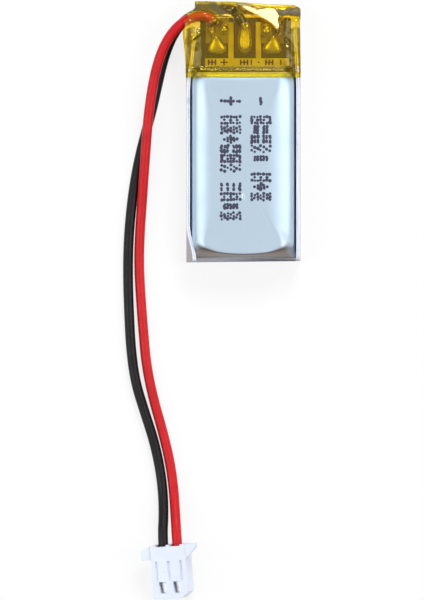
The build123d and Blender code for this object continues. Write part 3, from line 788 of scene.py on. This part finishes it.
tape = {"low": 4.64, "far": 11.33, "bottom": 0.02, "farBottom": 1.35, "overCup": 4.05,
        "overBoard": 3.02, "seamTop": 3.45, "farTop": 1.55, "sheet": 0.05,
        "stations": 96, "across": 96, "under": 16, "sideSteps": 12,
        # from where to where each change runs
        "step": (5.0, 5.62), "pinch": (10.0, 11.3), "seamAcross": (3.6, 4.75), "seamFrom": (5.0, 5.9),
        "seamTo": (9.4, 10.4), "sag": 0.55, "sagTo": 5.3, "sagAcross": (3.4, 4.7),
        "tilt": -0.30, "tiltFrom": 9.5, "tiltAcross": (-3.0, 4.6),
        "corner": 0.30, "cornerPower": 30, "leadRoom": 0.55, "leadFall": 0.9,
        # folds where the cap was pinched down: start, end, width, height
        "folds": (((-2.0, 9.9), (-4.9, 7.7), 0.20, 0.22), ((4.15, 11.1), (3.3, 9.6), 0.16, 0.26),
                  ((3.4, 8.3), (4.4, 6.9), 0.22, -0.16)),
        "rolls": (0.9, 1.1, 4.2, 0.06), "creases": (1.7, 1.5, 9.7, 0.035),
        "ripple": (4.2, 3.6, 2.9, 0.004), "playFrom": (5.6, 6.6), "calmAcross": (3.9, 4.9), "calm": 0.6,
        # each side: where it starts, then from, to and how far it moves
        "left": (-5.03, (5.0, 7.5, -0.10), (6.5, 8.8, -0.16), (9.9, 10.8, 1.05)),
        "right": (4.96, (6.0, 9.0, -0.06), (9.0, 10.4, 0.06)), "rightNip": (10.85, 11.33, 0.50)}

# where the leads come out on the left
slot = {"side": -4.9, "drift": 0.4, "driftAlong": (10.2, 11.2), "along": (8.75, 10.95), "up": (0.45, 3.3)}


def ridge(x, y, start, end, width, height):
    # a soft fold line from start to end
    a, b, p = Vector(start), Vector(end), Vector((x, y))
    along = b - a
    t = max(0.0, min(1.0, (p - a).dot(along) / along.length_squared))
    away = (p - (a + along * t)).length / width
    return height * math.exp(-away * away)


def overLead(x, y, route):
    # height that clears a lead lying under the film
    best = -9.0
    p = Vector((x, y))
    for a, b in zip(route, route[1:]):
        start, along = Vector(a[:2]), Vector(b[:2]) - Vector(a[:2])
        t = max(0.0, min(1.0, (p - start).dot(along) / along.length_squared))
        off = (p - (start + along * t)).length
        fall = tape["leadFall"] * max(0.0, off - 0.10) ** 1.4
        best = max(best, mix(a[2], b[2], t) + tape["leadRoom"] - fall)
    return best


# the folded corner; each station is x, then its near and far edge
flap = {"top": tape["overBoard"] + 0.64, "slope": 0.40, "anchor": (3.0, 8.4), "facing": (0.24, 0.97),
        "near": 0.35, "far": 0.3, "leftEdge": (-0.9, -0.2), "rightEdge": (3.2, 3.6),
        "lift": 0.035, "steps": 56, "rows": 14,
        "stations": ((-0.75, 10.93, 10.97), (0.30, 10.18, 10.88), (1.30, 9.72, 10.62), (2.35, 9.02, 10.80),
                     (2.75, 8.60, 10.70), (3.00, 8.35, 10.25), (3.35, 9.30, 9.50))}


def foldEdges(x):
    stations = flap["stations"]
    for (x0, low0, high0), (x1, low1, high1) in zip(stations, stations[1:]):
        if x < x1 or x1 == stations[-1][0]:
            t = max(0.0, min(1.0, (x - x0) / (x1 - x0)))
            return mix(low0, low1, t), mix(high0, high1, t)


def tapeTop(x, y):
    edge = abs(x)
    z = mix(tape["overCup"], tape["overBoard"], smooth(*tape["step"], y))
    if y < tape["sagTo"]:
        z -= tape["sag"] * smooth(*tape["sagAcross"], edge) ** 2
    atSeam = smooth(*tape["seamAcross"], edge) * smooth(*tape["seamFrom"], y)
    z = mix(z, tape["seamTop"], atSeam * (1 - smooth(*tape["seamTo"], y)))
    z = mix(z, tape["farTop"], smooth(*tape["pinch"], y))
    # tents over the two leads' ends
    z = max(z, overLead(x, y, redRoute[:4]), overLead(x, y, blackRoute[:4]))
    # the folded corner lies as one flat slope
    low, high = foldEdges(x)
    (ax, ay), (fx, fy) = flap["anchor"], flap["facing"]
    lean = flap["top"] - flap["slope"] * ((y - ay) * fy + (x - ax) * fx)
    inside = smooth(0, flap["near"], y - low) * (1 - smooth(0, flap["far"], y - high))
    inside *= smooth(*flap["leftEdge"], x) * (1 - smooth(*flap["rightEdge"], x))
    z = mix(z, max(z, lean), inside)
    for fold in tape["folds"]:
        z += ridge(x, y, *fold)
    play = waver(x, y, *tape["rolls"]) + abs(waver(x, y, *tape["creases"])) + waver(x, y, *tape["ripple"])
    calm = 1 - tape["calm"] * smooth(*tape["calmAcross"], edge)
    return z + play * smooth(*tape["playFrom"], y) * calm


def tapeSides(y):
    sides = []
    for start, *changes in (tape["left"], tape["right"]):
        sides.append(start + sum(size * smooth(low, high, y) for low, high, size in changes))
    low, high, nip = tape["rightNip"]
    return sides[0], sides[1] - nip * smooth(low, high, y) ** 2


def clearOfSlot(middle):
    # true where a face isn't in the opening for the leads
    x, y, z = middle
    inside = x < slot["side"] + slot["drift"] * smooth(*slot["driftAlong"], y)
    inside = inside and slot["along"][0] < y < slot["along"][1]
    return not (inside and slot["up"][0] < z < slot["up"][1])


def makeTape():
    rings = []
    under, sideSteps = tape["under"], tape["sideSteps"]
    for i in range(tape["stations"] + 1):
        y = mix(tape["low"], tape["far"], i / tape["stations"])
        left, right = tapeSides(y)
        pinch = smooth(*tape["pinch"], y)
        bottom = mix(tape["bottom"], tape["farBottom"], pinch)
        ring = [(mix(left, right, k / under), bottom) for k in range(under + 1)]
        topRight, topLeft = tapeTop(right, y), tapeTop(left, y)
        ring += [(right, mix(bottom, topRight, k / sideSteps)) for k in range(1, sideSteps)]
        for k in range(tape["across"] + 1):
            x = mix(right, left, k / tape["across"])
            reach = abs(x / right) if x > 0 else abs(x / left)
            corner = tape["corner"] * (1 - pinch) * reach ** tape["cornerPower"]
            ring.append((x, tapeTop(x, y) - corner))
        ring += [(left, mix(bottom, topLeft, k / sideSteps)) for k in range(sideSteps - 1, 0, -1)]
        tilt = tape["tilt"] * smooth(tape["tiltFrom"], tape["far"], y)
        rings.append([(x, y + tilt * smooth(*tape["tiltAcross"], x), z) for x, z in ring])
    verts, faces = loft(rings, caps=False)
    kept = []
    for face in faces:
        if clearOfSlot([sum(verts[v][k] for v in face) / len(face) for k in range(3)]):
            kept.append(face)
    # the pinched far end: each top point joins the bottom point below it
    last = tape["stations"] * len(rings[0])
    steps = tape["across"] // under
    topStart = last + under + sideSteps
    for k in range(under):
        first = topStart + (under - 1 - k) * steps
        for s in range(steps):
            kept.append((first + s, first + s + 1, last + k + (1 if s < steps // 2 else 0)))
        kept.append((first + steps // 2, last + k, last + k + 1))
    mesh = bpy.data.meshes.new("tapeCap")
    mesh.from_pydata([tuple(c * mm for c in v) for v in verts], [], kept)
    work = bmesh.new()
    work.from_mesh(mesh)
    bmesh.ops.recalc_face_normals(work, faces=work.faces)
    bmesh.ops.delete(work, geom=[v for v in work.verts if not v.link_faces], context="VERTS")
    work.to_mesh(mesh)
    work.free()
    mesh.shade_smooth()
    piece = bpy.data.objects.new("tapeCap", mesh)
    bpy.context.scene.collection.objects.link(piece)
    return thicken(piece, tape["sheet"], -1)


amber = {"haze": paint(255, 206, 8), "deepHaze": paint(240, 166, 4), "clear": (0.995, 0.90, 0.085, 1),
         "gloss": (1, 0.97, 0.9, 1), "glossRough": 0.12, "edgeIndex": 1.42, "veil": 0.05,
         "foldGlare": 0.01}


def makeAmberFilm(name, glare):
    # thin see-through film: most light passes tinted, a little meets an amber haze, and the face mirrors
    material = makeFinish(name, amber["haze"], amber["deepHaze"], scale=420, amount=0.6,
                          rough=0.2, spread=0.05, relief=0.004, reliefScale=900)
    nodes, links = material.node_tree.nodes, material.node_tree.links
    out = nodes["Material Output"]
    clear = nodes.new("ShaderNodeBsdfTransparent")
    clear.inputs["Color"].default_value = amber["clear"]
    hazy = nodes.new("ShaderNodeMixShader")
    hazy.inputs[0].default_value = amber["veil"]
    gloss = nodes.new("ShaderNodeBsdfGlossy")
    gloss.inputs["Roughness"].default_value = amber["glossRough"]
    gloss.inputs["Color"].default_value = amber["gloss"]
    edge = nodes.new("ShaderNodeFresnel")
    edge.inputs["IOR"].default_value = amber["edgeIndex"]
    share = addMath(nodes, "ADD")
    share.inputs[1].default_value = glare
    film = nodes.new("ShaderNodeMixShader")
    links.new(clear.outputs[0], hazy.inputs[1])
    links.new(nodes["Principled BSDF"].outputs[0], hazy.inputs[2])
    links.new(edge.outputs[0], share.inputs[0])
    links.new(share.outputs[0], film.inputs[0])
    links.new(hazy.outputs[0], film.inputs[1])
    links.new(gloss.outputs[0], film.inputs[2])
    links.new(film.outputs[0], out.inputs["Surface"])
    return material


def makeFlap():
    # the film's far corner folded back over itself
    verts, faces = [], []
    first, last = flap["stations"][0][0], flap["stations"][-1][0]
    for i in range(flap["steps"] + 1):
        x = mix(first, last, i / flap["steps"])
        low, high = foldEdges(x)
        for k in range(flap["rows"] + 1):
            y = mix(low, high, k / flap["rows"])
            verts.append((x, y, tapeTop(x, y) + flap["lift"]))
    for i in range(flap["steps"]):
        for k in range(flap["rows"]):
            a = i * (flap["rows"] + 1) + k
            faces.append((a, a + flap["rows"] + 1, a + flap["rows"] + 2, a + 1))
    return thicken(newPiece("tapeFlap", verts, faces), tape["sheet"], 0)


fitPiece(makeTape(), makeAmberFilm("amberFilm", 0.0), "amber_tape", "polyimide_tape")
fitPiece(makeFlap(), makeAmberFilm("foldedFilm", amber["foldGlare"]), "amber_tape")

# board: printed legend and solder mounds

board = {"top": 2.20, "ink": 0.006, "inkGap": 0.001, "legend": (-3.35, 3.98, 5.64, 6.34),
         "dividers": (-1.10, 1.30), "dividerHalf": 0.23, "dividerEnd": 9.5,
         # left, right, low and high of the single strokes
         "strokes": ((-2.02, -1.38, 5.93, 6.05), (-1.76, -1.64, 5.70, 6.28), (0.62, 0.74, 5.76, 6.22),
                     (1.24, 1.38, 5.92, 6.06), (3.20, 3.32, 5.76, 6.22)),
         # generic marks of three bars and a cross stroke
         "barMarks": (-2.75, 0.05, 2.25), "bars": (-0.30, 0.0, 0.30), "barHalf": 0.07,
         "barSpan": (5.74, 6.24), "crossSpan": (5.93, 6.05)}


def makeLegend():
    z0, z1 = board["top"] + board["inkGap"], board["top"] + board["ink"]
    shapes = [slab(*board["legend"], z0, z1)]
    half = board["dividerHalf"]
    for x in board["dividers"]:
        shapes.append(slab(x - half, x + half, board["legend"][3], board["dividerEnd"], z0, z1))
    return joinShapes("boardLegend", shapes)


def makeLegendMarks():
    z0, z1 = board["top"] + board["ink"], board["top"] + 2 * board["ink"]
    shapes = [slab(*stroke, z0, z1) for stroke in board["strokes"]]
    half = board["barHalf"]
    for x in board["barMarks"]:
        for bar in board["bars"]:
            shapes.append(slab(x + bar - half, x + bar + half, *board["barSpan"], z0, z1))
        shapes.append(slab(x - board["dividerHalf"], x + board["dividerHalf"], *board["crossSpan"], z0, z1))
    return joinShapes("legendMarks", shapes)


solder = {"arcSteps": 16, "floorSteps": 8, "roundness": 0.7, "grooveWidth": 0.2,
          "padTop": 2.24, "tabTop": 2.33,
          # low, high, middle and which way each cell tab's fillet leans
          "flares": {"solderLeft": (6.75, 8.35, -2.35, 1), "solderRight": (6.75, 8.35, 2.55, -1)},
          # low, high, middle, half width and height of each round blob
          "blobs": {"solderLeft": ((8.1, 9.25, -2.75, 0.34, 0.62), (8.35, 9.35, -1.72, 0.46, 0.60)),
                    "solderRight": ((8.15, 9.4, 1.98, 0.50, 0.66),)},
          "bead": (6.75, 9.62), "flareSteps": 20, "blobSteps": 14, "beadSteps": 28}


def mound(stations, low, high, profile, base):
    # a D section carried along y; profile(t) gives centre x, half width, height and groove depth
    rings = []
    arcSteps, floorSteps = solder["arcSteps"], solder["floorSteps"]
    for i in range(stations + 1):
        y = mix(low, high, i / stations)
        cx, half, height, groove = profile(i / stations)
        ring = []
        for k in range(arcSteps + 1):
            a = math.pi * k / arcSteps
            across = math.cos(a)
            z = base + height * math.sin(a) ** solder["roundness"]
            z -= groove * math.exp(-(across / solder["grooveWidth"]) ** 2)
            ring.append((cx + half * across, y, max(base, z)))
        for k in range(1, floorSteps):
            ring.append((cx + half * mix(-1, 1, k / floorSteps), y, base))
        rings.append(ring)
    return loft(rings)


def flare(cx, way):
    # the fillet over a cell tab, wide at its near end
    def profile(t):
        swell = math.sin(math.pi * min(1, t * 1.02 + 0.02)) ** 0.25
        half = mix(0.93, 0.50, smooth(0.0, 0.9, t)) * swell
        return cx + way * 0.05 * math.sin(5 * t), half + 0.01, 0.30 * swell + 0.20 * t + 0.02, 0.0
    return profile


def blob(cx, size, height):
    def profile(t):
        arch = math.sqrt(max(0.0, 1 - (2 * t - 1) ** 2))
        return cx, size * arch + 0.01, height * arch + 0.01, 0.0
    return profile


def bead(t):
    # the long bead that holds the black lead's strands, grooved along its top
    arch = math.sqrt(max(0.0, 1 - abs(2 * t - 1) ** 3.2))
    return 0.12, mix(0.66, 0.52, smooth(0.3, 0.9, t)) * arch + 0.01, 0.55 * arch + 0.01, 0.16 * arch


def makeSolder():
    for name, node in (("solderLeft", "solder_positive"), ("solderMiddle", "solder_black_lead"),
                       ("solderRight", "solder_negative")):
        shapes = []
        if name in solder["flares"]:
            low, high, cx, way = solder["flares"][name]
            shapes.append(mound(solder["flareSteps"], low, high, flare(cx, way), solder["tabTop"]))
            for low, high, cx, size, height in solder["blobs"][name]:
                shapes.append(mound(solder["blobSteps"], low, high, blob(cx, size, height), solder["padTop"]))
        else:
            shapes.append(mound(solder["beadSteps"], *solder["bead"], bead, solder["padTop"]))
        fitPiece(joinShapes(name, shapes, flat=False), brightSolder, "solder", node)


boardInk = makeFinish("boardInk", paint(226, 222, 205), paint(212, 206, 186), scale=900, amount=0.5,
                      rough=0.6)
darkMark = makeFinish("darkMark", paint(26, 34, 22), paint(18, 24, 16), scale=900, amount=0.5, rough=0.6)
brightSolder = makeFinish("brightSolder", paint(222, 222, 226), paint(196, 196, 202), scale=700, amount=0.5,
                          rough=0.26, spread=0.12, relief=0.02, reliefScale=1500, Metallic=0.9)
fitPiece(makeLegend(), boardInk, "board_laminate")
fitPiece(makeLegendMarks(), darkMark, "board_laminate")
makeSolder()

# dot printing on the face

printSet = {"pitch": 0.84, "dot": 0.135, "across": 1.85, "rows": 7, "columns": 5, "proud": 0.004,
            "leftEdge": -2.05, "rightEdge": 0.57, "firstY": 2.88, "jitter": 0.035, "seed": 11,
            "gap": 0.95, "fill": 0.80}
# generic marks drawn on a 7 x 5 dot grid, one row across the printed line at a time
marks = {
    "plus": ("0001000", "0001000", "1111111", "0001000", "0001000"),
    "minus": ("0001000", "0001000", "0001000", "0001000", "0001000"),
    "diamond": ("0001000", "0011100", "0111110", "0011100", "0001000"),
    "checker": ("1010101", "0101010", "1010101", "0101010", "1010101"),
    "brick": ("0000000", "0111110", "0111110", "0111110", "0000000"),
    "pair": ("0110110", "0110110", "0110110", "0110110", "0110110"),
    "blocks": ("1110111", "1110111", "0000000", "1110111", "1110111"),
    "hatch": ("1001001", "0100100", "0010010", "1001001", "0100100"),
    "frame": ("1111111", "1000001", "1011101", "1000001", "1111111"),
    "bars": ("1010101", "1010101", "0000000", "1010101", "1010101"),
    "rails": ("1111111", "0000000", "0101010", "0000000", "1111111"),
}
leftLine = ("plus", None, "rails", "checker", "diamond", "blocks", "frame", "hatch", None,
            "bars", "rails", "brick", "checker")
rightLine = ("minus", None, "frame", "pair", "blocks", "hatch", "brick", None, "rails", "diamond", "checker")


def printPoints():
    points = []
    for edge, line in ((printSet["leftEdge"], leftLine), (printSet["rightEdge"], rightLine)):
        y = printSet["firstY"]
        for mark in line:
            if mark is None:
                y -= printSet["pitch"] * printSet["gap"]
                continue
            for step, row in enumerate(marks[mark]):
                down = printSet["pitch"] * printSet["fill"] * (step + 0.5) / printSet["columns"]
                for place, dot in enumerate(row):
                    if dot == "1":
                        x = edge + printSet["across"] * (place + 0.5) / printSet["rows"]
                        points.append((x * mm, (y - down) * mm, cup["top"] * mm))
            y -= printSet["pitch"]
    return points


def dotTree():
    tree = bpy.data.node_groups.new("printedDots", "GeometryNodeTree")
    tree.interface.new_socket("Geometry", in_out="INPUT", socket_type="NodeSocketGeometry")
    for label, value in (("Dot Radius", 0.0001), ("Proud", 0.000004), ("Wander", 0.00003)):
        socket = tree.interface.new_socket(label, in_out="INPUT", socket_type="NodeSocketFloat")
        socket.default_value = value
    seedSocket = tree.interface.new_socket("Seed", in_out="INPUT", socket_type="NodeSocketInt")
    seedSocket.default_value = 1
    tree.interface.new_socket("Ink", in_out="INPUT", socket_type="NodeSocketMaterial")
    tree.interface.new_socket("Geometry", in_out="OUTPUT", socket_type="NodeSocketGeometry")
    nodes, links = tree.nodes, tree.links
    given, out = nodes.new("NodeGroupInput"), nodes.new("NodeGroupOutput")
    disc = nodes.new("GeometryNodeMeshCylinder")
    disc.inputs["Vertices"].default_value = 9
    place = nodes.new("GeometryNodeInstanceOnPoints")
    size = nodes.new("FunctionNodeRandomValue")
    size.data_type = "FLOAT"
    size.inputs[2].default_value = 0.80
    size.inputs[3].default_value = 1.20
    negative = addMath(nodes, "MULTIPLY")
    negative.inputs[1].default_value = -1.0
    shiftLow = nodes.new("ShaderNodeCombineXYZ")
    shiftHigh = nodes.new("ShaderNodeCombineXYZ")
    wander = nodes.new("FunctionNodeRandomValue")
    wander.data_type = "FLOAT_VECTOR"
    move = nodes.new("GeometryNodeSetPosition")
    real = nodes.new("GeometryNodeRealizeInstances")
    ink = nodes.new("GeometryNodeSetMaterial")
    links.new(given.outputs["Dot Radius"], disc.inputs["Radius"])
    links.new(given.outputs["Proud"], disc.inputs["Depth"])
    links.new(given.outputs["Wander"], shiftHigh.inputs["X"])
    links.new(given.outputs["Wander"], shiftHigh.inputs["Y"])
    links.new(given.outputs["Wander"], negative.inputs[0])
    links.new(negative.outputs[0], shiftLow.inputs["X"])
    links.new(negative.outputs[0], shiftLow.inputs["Y"])
    links.new(shiftLow.outputs[0], wander.inputs[0])
    links.new(shiftHigh.outputs[0], wander.inputs[1])
    links.new(given.outputs["Seed"], wander.inputs["Seed"])
    links.new(given.outputs["Seed"], size.inputs["Seed"])
    links.new(given.outputs["Geometry"], move.inputs["Geometry"])
    links.new(wander.outputs[0], move.inputs["Offset"])
    links.new(move.outputs[0], place.inputs["Points"])
    links.new(disc.outputs["Mesh"], place.inputs["Instance"])
    links.new(size.outputs[1], place.inputs["Scale"])
    links.new(place.outputs[0], real.inputs[0])
    links.new(real.outputs[0], ink.inputs["Geometry"])
    links.new(given.outputs["Ink"], ink.inputs["Material"])
    links.new(ink.outputs[0], out.inputs[0])
    return tree


def makePrint(ink):
    mesh = bpy.data.meshes.new("facePrint")
    mesh.from_pydata(printPoints(), [], [])
    piece = bpy.data.objects.new("facePrint", mesh)
    bpy.context.scene.collection.objects.link(piece)
    nodes = piece.modifiers.new("dots", "NODES")
    nodes.node_group = dotTree()
    wanted = {"Dot Radius": printSet["dot"] * mm, "Proud": printSet["proud"] * mm,
              "Wander": printSet["jitter"] * mm, "Seed": printSet["seed"], "Ink": ink}
    for item in nodes.node_group.interface.items_tree:
        if item.in_out == "INPUT" and item.name in wanted:
            nodes[item.identifier] = wanted[item.name]
    bakeModifiers(piece)
    return piece


printInk = makeFinish("printInk", paint(58, 60, 84), paint(44, 46, 66), scale=1500, amount=0.5, rough=0.55)
fitPiece(makePrint(printInk), printInk, "pouch_foil")

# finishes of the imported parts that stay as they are

heatStain = {"scuffColour": paint(58, 42, 20), "scuffAmount": 0.85, "scuffScale": 800, "scuffCut": 0.5}
# two colours, roughness, and what else the finish has
packedFinishes = {
    "anode_coating": ((58, 58, 62), (40, 40, 44), 0.6, {}),
    "cathode_coating": ((44, 42, 44), (30, 30, 32), 0.65, {}),
    "separator_film": ((232, 232, 228), (220, 220, 216), 0.45, {}),
    "winding_tape": ((80, 150, 90), (60, 130, 76), 0.35, {}),
    "aluminium_tab": ((178, 174, 160), (120, 108, 84), 0.34, {"Metallic": 0.8, **heatStain}),
    "nickel_tab": ((172, 164, 144), (116, 102, 76), 0.3, {"Metallic": 0.8, **heatStain}),
    "tab_sealant": ((214, 206, 186), (196, 186, 164), 0.5, {}),
    "insulating_foam": ((232, 232, 226), (206, 206, 200), 0.85, {"relief": 0.02}),
    "board_laminate": ((38, 46, 26), (26, 34, 18), 0.35, {"Coat Weight": 0.4}),
    "pad_copper": ((96, 74, 34), (60, 46, 20), 0.35, {"Metallic": 0.5}),
    "chip_moulding": ((34, 34, 36), (24, 24, 26), 0.55, {}),
    "tinned_terminal": ((206, 206, 210), (184, 184, 190), 0.3, {"Metallic": 0.9}),
    "capacitor_ceramic": ((176, 142, 104), (160, 126, 90), 0.5, {}),
    "resistor_ceramic": ((36, 38, 44), (26, 28, 32), 0.5, {}),
    "tinned_copper": ((212, 206, 196), (190, 182, 170), 0.3, {"Metallic": 0.9}),
    "tinned_contact": ((210, 210, 214), (186, 186, 192), 0.28, {"Metallic": 0.9}),
}


def finishPackedParts():
    made = {}
    for part in frame["record"]["subparts"]:
        slot, piece = part["material_slot"], frame["nodes"][part["node"]]
        if slot not in packedFinishes:
            continue
        if slot not in made:
            colour, second, rough, rest = packedFinishes[slot]
            made[slot] = makeFinish("packed_" + slot, paint(*colour), paint(*second),
                                    scale=600, amount=0.5, rough=rough, **rest)
        piece.data.materials.clear()
        piece.data.materials.append(made[slot])


finishPackedParts()
